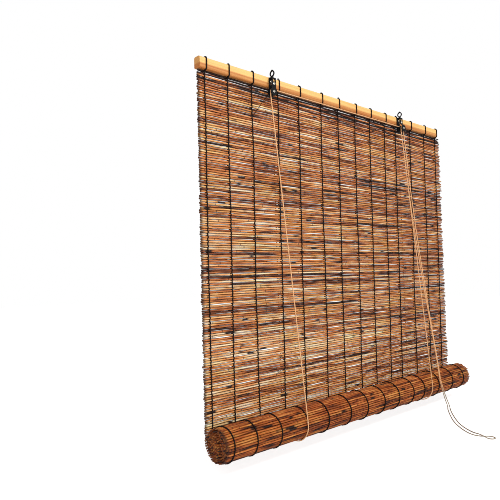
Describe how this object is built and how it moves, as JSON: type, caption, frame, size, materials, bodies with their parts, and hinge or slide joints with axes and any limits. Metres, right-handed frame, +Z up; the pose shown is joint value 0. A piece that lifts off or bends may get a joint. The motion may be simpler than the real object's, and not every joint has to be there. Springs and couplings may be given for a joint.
{
  "type": "reed roll-up blind",
  "caption": "Woven reed roll-up blind, partly rolled up: pine head rail, hanging reed mat with dark warp threads, soft roll in cord loops, black pulley hangers and a pull cord to the floor.",
  "frame": {"origin": "centre of the left hanging eye's hole", "axes": "+X along the head rail to its right end as seen from the room, -Y towards the room, +Z up"},
  "size_m": [1, 0.3273, 0.8864],
  "materials": {
    "rail_wood": "planed pine, clear satin lacquer",
    "mat_reed": "dry reeds of mixed tan and brown, satin",
    "roll_reed": "orange-brown reeds, satin",
    "warp_thread": "dark brown twisted thread",
    "cord": "tan twisted cord",
    "black_steel": "black, half gloss",
    "sheave_steel": "black, half gloss",
    "bright_steel": "plain zinc"
  },
  "bodies": {
    "head": {"head_rail": "rail_wood", "reed_mat": "mat_reed", "warp_thread_01": "warp_thread", "warp_thread_02": "warp_thread", "warp_thread_03": "warp_thread", "warp_thread_04": "warp_thread", "warp_thread_05": "warp_thread", "warp_thread_06": "warp_thread", "warp_thread_07": "warp_thread", "warp_thread_08": "warp_thread", "warp_thread_09": "warp_thread", "warp_thread_10": "warp_thread", "warp_thread_11": "warp_thread", "warp_thread_12": "warp_thread", "warp_thread_13": "warp_thread", "warp_thread_14": "warp_thread", "hanger_frame_left": "black_steel", "hanger_frame_right": "black_steel", "axle_left": "bright_steel", "axle_right": "bright_steel", "long_screws": "bright_steel", "short_screws": "bright_steel", "spacer_tubes": "bright_steel", "cord_tacks": "bright_steel", "cord_knots": "cord", "lift_cord_left_front": "cord", "lift_cord_left_back": "cord", "lift_cord_right_front": "cord", "lift_cord_right_back": "cord", "cross_cord": "cord", "front_sheave_cord": "cord", "pull_cord_rear": "cord", "pull_cord_front": "cord", "pull_cord_bight": "cord", "tie_thread": "warp_thread"},
    "sling": {"sling_left": "cord", "sling_right": "cord"},
    "roll": {"reed_roll": "roll_reed", "roll_threads": "warp_thread"},
    "sheave_left": {"sheave_left": "sheave_steel"},
    "sheave_right_rear": {"sheave_right_rear": "sheave_steel"},
    "sheave_right_front": {"sheave_right_front": "sheave_steel"},
    "eye_left": {"hanging_eye_left": "black_steel"},
    "eye_right": {"hanging_eye_right": "black_steel"}
  },
  "joints": [
    {"name": "roll_lift", "type": "slide", "parent": "head", "child": "sling", "axis": [0, 0, 1], "range_m": [0, 0.68895], "deforming": ["reed_mat", "warp_thread_01", "warp_thread_02", "warp_thread_03", "warp_thread_04", "warp_thread_05", "warp_thread_06", "warp_thread_07", "warp_thread_08", "warp_thread_09", "warp_thread_10", "warp_thread_11", "warp_thread_12", "warp_thread_13", "warp_thread_14", "lift_cord_left_front", "lift_cord_right_front", "lift_cord_left_back", "lift_cord_right_back", "pull_cord_rear", "pull_cord_front", "pull_cord_bight"]},
    {"name": "roll_turn", "type": "hinge", "parent": "sling", "child": "roll", "pos_m": [0.293, -0.0213, -0.8074], "axis": [-1, 0, 0], "range_deg": [0, 1080.2]},
    {"name": "sheave_turn_left", "type": "hinge", "parent": "head", "child": "sheave_left", "pos_m": [0, 0, -0.0428], "axis": [0, 1, 0], "continuous": true},
    {"name": "sheave_turn_right_rear", "type": "hinge", "parent": "head", "child": "sheave_right_rear", "pos_m": [0.538, 0, -0.0428], "axis": [0, 1, 0], "continuous": true},
    {"name": "sheave_turn_right_front", "type": "hinge", "parent": "head", "child": "sheave_right_front", "pos_m": [0.538, -0.0075, -0.0428], "axis": [0, 1, 0], "continuous": true},
    {"name": "eye_swivel_left", "type": "hinge", "parent": "head", "child": "eye_left", "pos_m": [0, 0, -0.0098], "axis": [0, 0, 1], "continuous": true},
    {"name": "eye_swivel_right", "type": "hinge", "parent": "head", "child": "eye_right", "pos_m": [0.538, 0, -0.0098], "axis": [0, 0, 1], "continuous": true}
  ],
  "couplings": [
    {"joint": "roll_turn", "follows": "roll_lift", "rad_per_m": 27.36},
    {"joint": "sheave_turn_left", "follows": "roll_lift", "rad_per_m": 333.33},
    {"joint": "sheave_turn_right_rear", "follows": "roll_lift", "rad_per_m": 333.33},
    {"joint": "sheave_turn_right_front", "follows": "roll_lift", "rad_per_m": 333.33}
  ]
}
